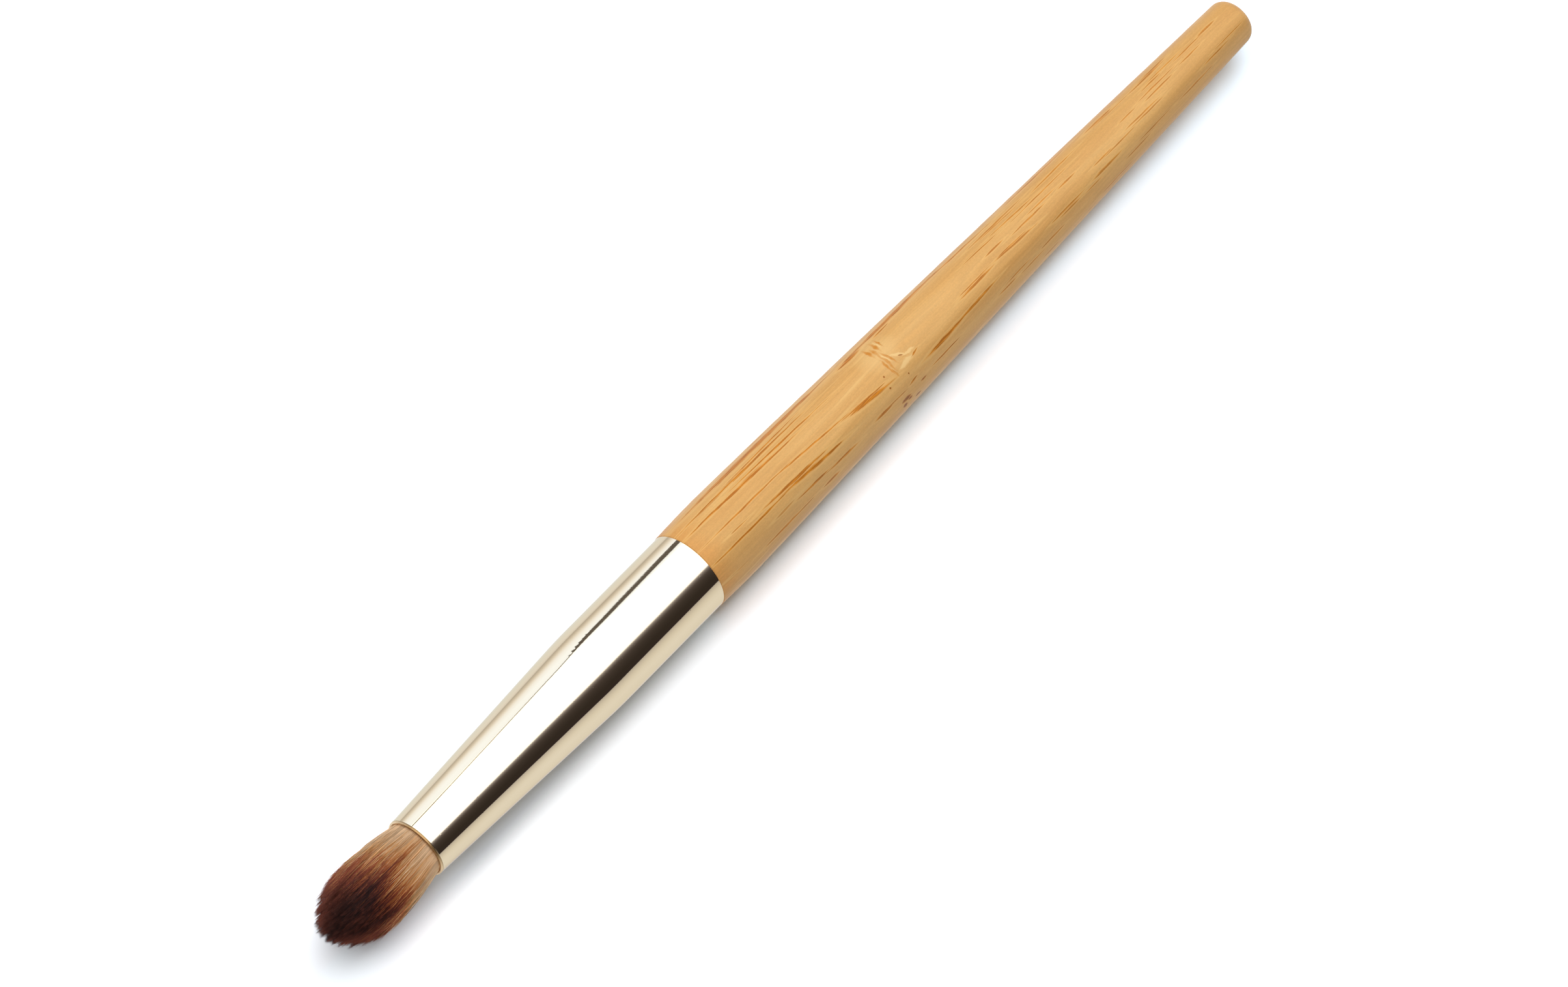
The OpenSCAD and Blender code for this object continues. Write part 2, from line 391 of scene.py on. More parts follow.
    def make(self) -> bpy.types.Material:
        """Makes the material.

        Returns:
            The material.
        """
        material, node = new_material("lacquered_bamboo")
        place = brush_place(node)
        along = node("SeparateXYZ", {"Vector": place}).outputs["X"]
        across, shown = side_parts(node, place)
        turn = node("Math", {0: across, 1: shown}, operation="ARCTAN2")

        # The fibres drift by up to half a millimetre as they run along the culm
        slow = node("Mapping", {"Vector": place, "Scale": (0.05, 0.2, 0.2)})
        drift = node("TexNoise", {"Vector": slow, "Scale": 1.0, "Detail": 1.0}).outputs["Color"]
        centred = node("VectorMath", {0: drift, 1: (0.5, 0.5, 0.5)}, operation="SUBTRACT")
        sideways = (0.0, self.drift_mm, self.drift_mm)
        bent = node("VectorMath", {0: centred, 1: sideways, 2: place}, operation="MULTIPLY_ADD")

        # Single fibres tear the outlines of the dashes and lie in them as darker threads
        torn_place = node("Mapping", {"Vector": place, "Scale": (0.45, 6.5, 6.5)})
        torn = node("TexNoise", {"Vector": torn_place, "Scale": 1.0, "Detail": 2.0})
        offset = node("Math", {0: torn, 1: 0.5}, operation="SUBTRACT")
        marks = self._marks(node, along, turn, self.dashes)
        reach = node("Math", {0: offset, 1: self.tear, 2: marks}, operation="MULTIPLY_ADD")
        core, side, haze = (
            node("MapRange", {"Value": reach, "From Min": faded, "From Max": full}, **SOFT)
            for faded, full in (self.core_reach, self.side_reach, self.haze_reach)
        )

        # Long bundles end at the joint. Short ones keep to the side turned away, because the
        # shown side has its own marks
        joint = {"From Min": self.joint_x_mm - 1.0, "From Max": self.joint_x_mm - 2.0}
        before_joint = node("MapRange", {"Value": along, **joint})
        around = node("Math", {0: turn}, operation="ABSOLUTE")
        turned_away = node("MapRange", {"Value": around, "From Min": 1.05, "From Max": 1.3})
        for cell, where in ((self.long_cell_mm, before_joint), (self.short_cell_mm, turned_away)):
            more_core, more_side = self._bundles(node, bent, cell, where)
            core = node("Math", {0: core, 1: more_core}, operation="MAXIMUM")
            side = node("Math", {0: side, 1: more_side}, operation="MAXIMUM")
        scar = self._scar(node, place, along, turn)

        # Ground tissue: broad bands of tone, darker from the glue at the ferrule
        band_place = node("Mapping", {"Vector": bent, "Scale": (0.03, 0.5, 0.5)})
        band = node("TexNoise", {"Vector": band_place, "Scale": 1.0, "Detail": 2.0})
        tones = ((0.3, self.ground_dark), (0.5, self.ground), (0.7, self.ground_light))
        tone = node("ValToRGB", {"Fac": band}, stops=tones)
        uneven = node("Math", {0: band, 1: -9.0, 2: along}, operation="MULTIPLY_ADD")
        glued = {"From Min": -20.0, "From Max": -24.5, "To Max": 0.7}
        stain = node("MapRange", {"Value": uneven, **glued}, **SOFT)
        colour = node("Mix", {"Factor": stain, "A": tone, "B": self.stained}, data_type="RGBA")

        # Fine long fibres and a sandy speckle lie on it
        fibre_place = node("Mapping", {"Vector": bent, "Scale": (0.09, 4.0, 4.0)})
        fibre = node("TexNoise", {"Vector": fibre_place, "Scale": 1.0, "Detail": 3.0})
        sand_place = node("Mapping", {"Vector": place, "Scale": (0.6, 1.0, 1.0)})
        grains = {"Scale": 1 / self.grain_mm, "Detail": 2.0, "Roughness": 0.7}
        sand = node("TexNoise", {"Vector": sand_place, **grains})
        for grain, spread, strength in ((fibre, 0.2, 0.05), (sand, 0.25, 0.07)):
            span = {"From Min": 0.5 - spread, "From Max": 0.5 + spread}
            lights = {"To Min": 1 - strength, "To Max": 1 + strength}
            light = node("MapRange", {"Value": grain, **span, **lights})
            colour = node("VectorMath", {0: colour, "Scale": light}, operation="SCALE")

        # The dashes pale towards the handle's thin end, where finer bundles are cut
        paling = {"From Min": 24.0, "From Max": 40.0, "To Min": 0.92, "To Max": 0.72}
        depth = node("MapRange", {"Value": along, **paling})
        thread = node("MapRange", {"Value": torn, "From Min": 0.6, "From Max": 0.42})
        brown = {"Factor": thread, "A": self.dash, "B": self.dash_dark}
        hollow = {"Factor": scar["deep"], "A": self.knot, "B": self.pit}
        strengths = ((side, self.side_strength), (haze, self.haze_strength), (core, depth))
        side, haze, core = (
            node("Math", {0: share, 1: strength}, operation="MULTIPLY")
            for share, strength in strengths
        )
        for share, over in (
            (side, self.pale_side),
            (haze, self.dash),
            (core, node("Mix", brown, data_type="RGBA")),
            (scar["patch"], self.scar_pale),
            (scar["line"], self.scar_line),
            (scar["pits"], node("Mix", hollow, data_type="RGBA")),
        ):
            colour = node("Mix", {"Factor": share, "A": colour, "B": over}, data_type="RGBA")

        # Heights in millimetres: a planed edge, the scar's lines and pits, and the speckle
        from_edge = node("Math", {0: turn, 1: self.edge_turn}, operation="SUBTRACT")
        from_edge = node("Math", {0: from_edge}, operation="ABSOLUTE")
        planed = {"From Max": self.edge_half_turn, "To Min": self.edge_mm, "To Max": 0.0}
        relief = node("MapRange", {"Value": from_edge, **planed}, **SOFT)
        for source, height in (
            (scar["line"], -self.line_deep_mm),
            (scar["pits"], -self.pit_deep_mm),
            (sand, self.sand_mm),
        ):
            relief = node("Math", {0: source, 1: height, 2: relief}, operation="MULTIPLY_ADD")
        surface = {
            "Base Color": colour,
            "Roughness": self.roughness,
            "Specular IOR Level": self.gloss,
            "Coat Weight": self.coat,
            "Coat Roughness": self.coat_roughness,
            "Normal": node("Bump", {"Height": relief, "Distance": MM, "Strength": 1.0}),
        }
        node("OutputMaterial", {"Surface": node("BsdfPrincipled", surface)})
        return material

    @staticmethod
    def _marks(
        node: Adder, along: Source, turn: Source, marks: tuple[Mark, ...]
    ) -> bpy.types.Node:
        """Adds marks as one value: 0 on a mark's middle line, 1 on its outline, more outside.

        Each mark is worked out from single numbers, because vectors would fill the shader's room.

        Args:
            node: Adds nodes to the material.
            along: The place along X, in millimetres.
            turn: The turn about the axis, in radians.
            marks: The marks.

        Returns:
            The node that gives the value.
        """
        nearest: Any = 100.0
        for mark in marks:
            angle = math.atan(mark.slope)
            axes = (
                (mark.half_len_mm, math.cos(angle), math.sin(angle)),
                (mark.half_turn, -math.sin(angle), math.cos(angle)),
            )
            parts = []
            for half, by_x, by_turn in axes:
                part: Any = -(by_x * mark.x_mm + by_turn * mark.turn) / half
                for value, share in ((along, by_x), (turn, by_turn)):
                    if share:
                        scaled = {0: value, 1: share / half, 2: part}
                        part = node("Math", scaled, operation="MULTIPLY_ADD")
                parts.append(part)
            off = node("Math", {0: parts[1]}, operation="ABSOLUTE")
            reach = node("Math", {0: parts[0], 1: parts[0], 2: off}, operation="MULTIPLY_ADD")
            nearest = node("Math", {0: nearest, 1: reach}, operation="MINIMUM")
        return nearest

    def _bundles(
        self, node: Adder, bent: Source, cell_mm: tuple[float, float], where: Source
    ) -> tuple[bpy.types.Node, bpy.types.Node]:
        """Adds one family of vessel bundles: thin rods along X that the surface cuts.

        Args:
            node: Adds nodes to the material.
            bent: The place on the brush, bent with the fibres.
            cell_mm: Length and width of the room that one rod has.
            where: How strongly the family shows at each place.

        Returns:
            The nodes that give the rods' cores and the pale tissue beside them.
        """
        length, width = cell_mm
        room = node("Mapping", {"Vector": bent, "Scale": (1 / length, 1 / width, 1 / width)})
        rods = node("TexVoronoi", {"Vector": room, "Scale": 1.0, "Randomness": 0.9}).outputs
        chance = node("SeparateColor", {"Color": rods["Color"]}).outputs
        core_r, half_len, strength = (
            node("MapRange", {"Value": chance[name], "To Min": low, "To Max": high})
            for name, (low, high) in (
                ("Red", self.core_r_mm),
                ("Green", (0.26, 0.48)),
                ("Blue", (0.5, 0.9)),
            )
        )
        off = node("VectorMath", {0: room, 1: rods["Position"]}, operation="SUBTRACT")
        off_x = node("SeparateXYZ", {"Vector": off}).outputs["X"]
        way = node("Math", {0: off_x, 1: half_len}, operation="DIVIDE")
        out = node("VectorMath", {0: off, 1: (0.0, width, width)}, operation="MULTIPLY")
        distance = node("VectorMath", {0: out}, operation="LENGTH").outputs["Value"]
        masks = []
        for growth in (1.0, self.side_growth):
            radius = node("Math", {0: core_r, 1: growth}, operation="MULTIPLY")
            share = node("Math", {0: distance, 1: radius}, operation="DIVIDE")
            reach = node("Math", {0: way, 1: way, 2: share}, operation="MULTIPLY_ADD")
            mask = node("MapRange", {"Value": reach, "From Min": 1.0, "From Max": 0.5}, **SOFT)
            masks.append(node("Math", {0: mask, 1: where}, operation="MULTIPLY"))
        return node("Math", {0: masks[0], 1: strength}, operation="MULTIPLY"), masks[1]

    def _scar(
        self, node: Adder, place: Source, along: Source, turn: Source
    ) -> dict[str, bpy.types.Node]:
        """Adds the scar of the culm's joint and its pits.

        Args:
            node: Adds nodes to the material.
            place: The place on the brush.
            along: The place along X, in millimetres.
            turn: The turn about the axis, in radians.

        Returns:
            The nodes that give the pale patch, its dark lines, the pits and their depth.
        """
        wobble = node("TexNoise", {"Vector": place, "Scale": 1.1, "Detail": 3.0}).outputs["Color"]
        chance = node("SeparateColor", {"Color": wobble}).outputs
        swayed = []
        for name, value, sway in (("Red", along, 0.6), ("Green", turn, 0.12)):
            back = node("Math", {0: value, 1: sway / 2}, operation="SUBTRACT")
            swayed.append(
                node("Math", {0: chance[name], 1: sway, 2: back}, operation="MULTIPLY_ADD")
            )
        lines, ridges, glow = (
            self._marks(node, *swayed, marks)
            for marks in (self.scar_lines, self.scar_ridges, (self.scar_glow,))
        )
        spots = self._marks(node, along, turn, self.spots)
        torn = node("Math", {0: chance["Red"], 1: spots}, operation="ADD")
        limits = ("Value", "From Min", "From Max", "To Max")
        lines, ridges, glow, pits, deep = (
            node("MapRange", dict(zip(limits, values)), **SOFT)
            for values in (
                (lines, 1.35, 0.1, 1.0),
                (ridges, 1.2, 0.4, 0.8),
                (glow, 1.1, 0.0, 0.4),
                (torn, 1.4, 0.9, 0.85),
                (torn, 1.0, 0.6, 1.0),
            )
        )
        wear = {"From Min": 0.35, "From Max": 0.55, "To Min": 0.6}
        uneven = node("MapRange", {"Value": chance["Blue"], **wear})
        return {
            "patch": node("Math", {0: ridges, 1: glow}, operation="MAXIMUM"),
            "line": node("Math", {0: lines, 1: uneven}, operation="MULTIPLY"),
            "pits": pits,
            "deep": deep,
        }


@dataclass(frozen=True)
class ChampagneMetal:
    """Drawn aluminium, polished to a mirror and anodised a pale champagne.

    The eye gets clear reflections whose edges waver a little along the tube, a few dust specks
    that break them, and painted shade at the mouth's rolled bead: a thin dark line in its groove,
    and a darker face on the shown side.
    """

    metal: str = "#E2D5BE"
    metal_warm: str = "#DCCDB2"
    bead_tint: str = "#E6CDA8"
    # Painted shade colours: the bead's face on the shown side, and the line in the groove behind it
    bead_shade_colour: str = "#A2825A"
    groove_shade_colour: str = "#6E5838"
    edge_tint: str = "#F0E9DB"
    roughness: float = 0.03
    bead_roughness: float = 0.38
    ripple_len_mm: float = 7.0
    ripple_mm: float = 0.01
    fine_mm: float = 0.0005
    speck_gap_mm: float = 0.55
    speck_share: float = 0.18
    speck_mm: float = 0.002
    bead_mm: float = 0.3
    bead_line_mm: float = 0.09
    line_deep_mm: float = 0.03
    bead_crown: float = 2.0

    def make(self) -> bpy.types.Material:
        """Makes the material.

        Returns:
            The material.
        """
        material, node = new_material("champagne_metal")
        place = brush_place(node)
        across, shown = side_parts(node, place)
        long_place = node("Mapping", {"Vector": place, "Scale": (0.2, 1.0, 1.0)})
        waves = {"Scale": 2 / self.ripple_len_mm, "Detail": 2.0}
        ripple = node("TexNoise", {"Vector": long_place, **waves})
        fine = node("TexNoise", {"Vector": place, "Scale": 2.2, "Detail": 3.0})

        # Dust lies on the side that faces the dark of the studio, where it shows
        dust = node("TexVoronoi", {"Vector": place, "Scale": 1 / self.speck_gap_mm}).outputs
        chance = node("SeparateColor", {"Color": dust["Color"]}).outputs["Red"]
        chosen = node("Math", {0: chance, 1: 1 - self.speck_share}, operation="GREATER_THAN")
        settled = node("MapRange", {"Value": across, "From Min": 0.4, "From Max": 0.7})
        speck = node("MapRange", {"Value": dust["Distance"], "From Min": 0.2, "From Max": 0.1})
        for share in (chosen, settled):
            speck = node("Math", {0: speck, 1: share}, operation="MULTIPLY")

        # The bead is a softer ring at the mouth, with a groove behind it in the relief that also
        # gets a dark line of painted shade
        along = node("SeparateXYZ", {"Vector": place})
        from_mouth = node("Math", {0: along, 1: MOUTH_X_MM}, operation="SUBTRACT")
        limits = {"From Min": self.bead_mm, "From Max": self.bead_mm - 0.02}
        bead = node("MapRange", {"Value": from_mouth, **limits})
        from_line, from_crown = (
            node(
                "Math",
                {0: node("Math", {0: from_mouth, 1: distance}, operation="SUBTRACT")},
                operation="ABSOLUTE",
            )
            for distance in (self.bead_mm, self.bead_mm / 2)
        )
        drawn = {"From Min": self.bead_line_mm / 2, "From Max": 0.0}
        line = node("MapRange", {"Value": from_line, **drawn}, **SOFT)
        crown = node("Math", {0: from_crown, 1: 2.0}, operation="POWER")
        crown = node("Math", {0: crown, 1: bead}, operation="MULTIPLY")

        # Painted shade: the bead's face towards the shown side is coloured darker
        under = node("MapRange", {"Value": shown, "From Min": 1.4, "From Max": 3.2})
        bead_tones = {"Factor": under, "A": self.bead_tint, "B": self.bead_shade_colour}
        # Painted shade along the groove behind the bead
        dark = node("Math", {0: line, 1: 0.85}, operation="MULTIPLY")
        colour: Any = self.metal
        for share, over in (
            (ripple, self.metal_warm),
            (bead, node("Mix", bead_tones, data_type="RGBA")),
            (dark, self.groove_shade_colour),
        ):
            colour = node("Mix", {"Factor": share, "A": colour, "B": over}, data_type="RGBA")

        polish = {"To Min": self.roughness, "To Max": self.roughness * 1.6}
        rough = node("MapRange", {"Value": fine, "From Min": 0.3, "From Max": 0.7, **polish})
        softer = {"Factor": bead, "A": rough, "B": self.bead_roughness}

        # Heights in millimetres
        relief: Any = 0.0
        for source, height in (
            (ripple, self.ripple_mm),
            (fine, self.fine_mm),
            (speck, self.speck_mm),
            (line, -self.line_deep_mm),
            (crown, -self.bead_crown),
        ):
            relief = node("Math", {0: source, 1: height, 2: relief}, operation="MULTIPLY_ADD")
        surface = {
            "Base Color": colour,
            "Metallic": 1.0,
            "Roughness": node("Mix", softer, data_type="FLOAT"),
            "Specular Tint": self.edge_tint,
            "Normal": node("Bump", {"Height": relief, "Distance": MM, "Strength": 1.0}),
        }
        node("OutputMaterial", {"Surface": node("BsdfPrincipled", surface)})
        return material


@dataclass(frozen=True)
class DipDyedFilament:
    """Tapered nylon filament, tan where it leaves the ferrule and dyed dark towards its tips.

    The eye gets fine streaks with a soft sheen, an uneven border between tan and dark, and single
    strands that stay pale for longer. The flanks carry painted light: they are lighter than the
    middle, and they and the thin tips turn lighter and redder as if lit through.
    strands that stay pale for longer, and thin tips that are lit through and look redder.
    """

    tan: str = "#DDB891"
    golden: str = "#C68F5A"
    copper: str = "#AE6838"
    chestnut: str = "#874328"
    burgundy: str = "#57251D"
    dark: str = "#190A0B"
    # Painted light: the lighter, redder colour that thin tips and the flanks get, as if lit through
    rim: str = "#B26450"
    roughness: float = 0.4
    gloss: float = 0.12
    smoothing: float = 0.75
    blend_mm: float = 6.0

    # Each place is a share of the way from one flank of the tuft to the other
    border_mm: ValueStops = (
        (0.0, 9.0),
        (0.1, 6.9),
        (0.24, 6.3),
        (0.35, 5.0),
        (0.5, 5.1),
        (0.66, 6.8),
        (0.78, 6.0),
        (0.9, 6.8),
        (1.0, 9.0),
    )
    # Painted light: a brightness for each place across the tuft, which lifts the flanks, most of
    # all the one at +ACROSS where shade falls
    flank_painted_light: ValueStops = (
        (0.0, 1.3),
        (0.11, 1.08),
        (0.35, 1.0),
        (0.5, 1.06),
        (0.78, 1.22),
        (0.9, 1.36),
        (1.0, 1.7),
    )
    # Painted light on the flanks, as if lit through: how far their colour goes towards the rim
    # colour
    painted_lit_through: ValueStops = (
        (0.0, 0.7),
        (0.11, 0.4),
        (0.25, 0.13),
        (0.4, 0.04),
        (0.5, 0.0),
        (0.88, 0.04),
        (1.0, 0.5),
    )

    def make(self) -> bpy.types.Material:
        """Makes the material.

        Returns:
            The material.
        """
        material, node = new_material("dip_dyed_filament")
        place = brush_place(node)
        strand, lock, from_tip = (
            node("Attribute", attribute_name=label).outputs["Fac"]
            for label in ("strand", "lock", "from_tip")
        )
        along = node("SeparateXYZ", {"Vector": place})
        height = node("Math", {0: MOUTH_X_MM, 1: along}, operation="SUBTRACT")
        round_place = node("VectorMath", {0: place, 1: (0.0, 1.0, 1.0)}, operation="MULTIPLY")
        outwards = node("VectorMath", {0: round_place}, operation="NORMALIZE")
        sideways = node("VectorMath", {0: outwards, 1: ACROSS}, operation="DOT_PRODUCT")
        flank = node("MapRange", {"Value": sideways.outputs["Value"], "From Min": -1.0})
        border, pale, outer = (
            node("ValToRGB", {"Fac": flank}, stops=stops)
            for stops in (self.border_mm, self.flank_painted_light, self.painted_lit_through)
        )

        # The dye reaches nearest to the mouth on two broad sides, and least far on the flanks
        patches_place = node("Mapping", {"Vector": place, "Scale": (0.12, 0.6, 0.6)})
        patches = node("TexNoise", {"Vector": patches_place, "Scale": 1.0, "Detail": 2.0})
        late = node("Math", {0: strand, 1: 7.0}, operation="POWER")
        for source, middle, reach in (
            (patches, 0.5, 3.6),
            (lock, 0.5, 2.6),
            (strand, 0.5, 2.4),
            (late, 0.1, 4.0),
        ):
            centred = node("Math", {0: source, 1: middle}, operation="SUBTRACT")
            border = node("Math", {0: centred, 1: reach, 2: border}, operation="MULTIPLY_ADD")
        dyed = node("Math", {0: height, 1: border}, operation="SUBTRACT")
        blend = {"From Min": -self.blend_mm, "From Max": self.blend_mm}
        tones = (
            (0.0, self.tan),
            (0.3, self.golden),
            (0.44, self.copper),
            (0.56, self.chestnut),
            (0.7, self.burgundy),
            (0.92, self.dark),
        )
        tone = node("ValToRGB", {"Fac": node("MapRange", {"Value": dyed, **blend})}, stops=tones)
        # Painted light: thin tips, and the flanks most of all on the upper one, lighten towards the
        # rim colour as if lit through
        tip = {"From Min": 0.8, "From Max": 0.0, "To Max": 0.25}
        thin = node("MapRange", {"Value": from_tip, **tip}, **SOFT)
        glow = node("Math", {0: thin, 1: outer}, operation="MAXIMUM")
        glowing = {"Factor": glow, "A": tone, "B": self.rim}
        tipped = node("Mix", glowing, data_type="RGBA", blend_type="LIGHTEN")

        # Each strand and each lock has its own brightness at random, on top of painted light that
        # makes both flanks lighter than the middle, one of them much more
        light = pale
        for source, shuffle, spread in ((strand, 13.7, 0.14), (lock, 7.3, 0.15)):
            shuffled = node("Math", {0: source, 1: shuffle}, operation="MULTIPLY")
            chance = node("Math", {0: shuffled}, operation="FRACT")
            own = node("MapRange", {"Value": chance, "To Min": 1 - spread, "To Max": 1 + spread})
            light = node("Math", {0: light, 1: own}, operation="MULTIPLY")
        colour = node("VectorMath", {0: tipped, "Scale": light}, operation="SCALE")

        # Light passes through and between strands, so their own roundness hardly shades them
        middle = (MOUTH_X_MM - 6.0, 0.0, 0.0)
        outward = node("VectorMath", {0: place, 1: middle}, operation="SUBTRACT")
        outward = node("VectorMath", {0: outward, 1: (0.0, 9.0, 9.0)}, operation="MINIMUM")
        outward = node("VectorMath", {0: outward}, operation="NORMALIZE")
        own = node("NewGeometry").outputs["Normal"]
        smooth = {"Factor": self.smoothing, "A": own, "B": outward}
        normal = node("Mix", smooth, data_type="VECTOR")
        surface = {
            "Base Color": colour,
            "Roughness": self.roughness,
            "Specular IOR Level": self.gloss,
            "Normal": node("VectorMath", {0: normal}, operation="NORMALIZE"),
        }
        node("OutputMaterial", {"Surface": node("BsdfPrincipled", surface)})
        return material


@dataclass(frozen=True)
class WaxedThread:
    """Polyester thread, twisted and waxed: cream, with a fine slant ply whose grooves are painted
    darker as shade.
    """

    colour: str = "#ECE7DA"
    # Painted shade: the darker colour in the ply's grooves
    shade: str = "#CFC6B2"
    ply_mm: float = 0.5
    ply_deep_mm: float = 0.04
    ply_turn: float = 0.7

    def make(self) -> bpy.types.Material:
        """Makes the material.

        Returns:
            The material.
        """
        material, node = new_material("waxed_thread")
        turned = {"Vector": brush_place(node), "Rotation": (0.0, 0.0, self.ply_turn)}
        twist = {"Scale": 1 / (2 * self.ply_mm), "Distortion": 0.6, "Detail": 1.0}
        ply = node("TexWave", {"Vector": node("Mapping", turned), **twist}).outputs["Fac"]
        # The ply's low grooves get the painted shade colour
        tones = {"Factor": ply, "A": self.shade, "B": self.colour}
        surface = {
            "Base Color": node("Mix", tones, data_type="RGBA"),
            "Roughness": 0.55,
            "Normal": node(
                "Bump", {"Height": ply, "Distance": self.ply_deep_mm * MM, "Strength": 1.0}
            ),
        }
        node("OutputMaterial", {"Surface": node("BsdfPrincipled", surface)})
        return material


@dataclass(frozen=True)
class CastResin:
    """Epoxy poured round the roots and cured: glossy amber with clouds and small bubbles."""

    colour: str = "#D0A255"
    cloud: str = "#B98538"
    bubble_gap_mm: float = 0.9
    bubble_deep_mm: float = 0.05

    def make(self) -> bpy.types.Material:
        """Makes the material.

        Returns:
            The material.
        """
        material, node = new_material("cast_resin")
        place = brush_place(node)
        clouds = node("TexNoise", {"Vector": place, "Scale": 0.5, "Detail": 3.0})
        bubbles = node("TexVoronoi", {"Vector": place, "Scale": 1 / self.bubble_gap_mm})
        rim = {"Value": bubbles.outputs["Distance"], "From Min": 0.14, "From Max": 0.08}
        dent = {"Height": node("MapRange", rim), "Distance": self.bubble_deep_mm * MM}
        tones = {"Factor": clouds, "A": self.colour, "B": self.cloud}
        surface = {
            "Base Color": node("Mix", tones, data_type="RGBA"),
            "Roughness": 0.15,
            "Normal": node("Bump", {**dent, "Strength": 1.0}, invert=True),
        }
        node("OutputMaterial", {"Surface": node("BsdfPrincipled", surface)})
        return material


@dataclass(frozen=True)
class WoodGlue:
    """White glue, dried to a dull cream film with darker patches where it is thin."""

    colour: str = "#E6D8B8"
    thin: str = "#CDB98F"
    film_mm: float = 0.08

    def make(self) -> bpy.types.Material:
        """Makes the material.

        Returns:
            The material.
        """
        material, node = new_material("wood_glue")
        spread = node("TexNoise", {"Vector": brush_place(node), "Scale": 0.9, "Detail": 4.0})
        tones = {"Factor": spread, "A": self.colour, "B": self.thin}
        surface = {
            "Base Color": node("Mix", tones, data_type="RGBA"),
            "Roughness": 0.6,
            "Normal": node(
                "Bump", {"Height": spread, "Distance": self.film_mm * MM, "Strength": 1.0}
            ),
        }
        node("OutputMaterial", {"Surface": node("BsdfPrincipled", surface)})
        return material


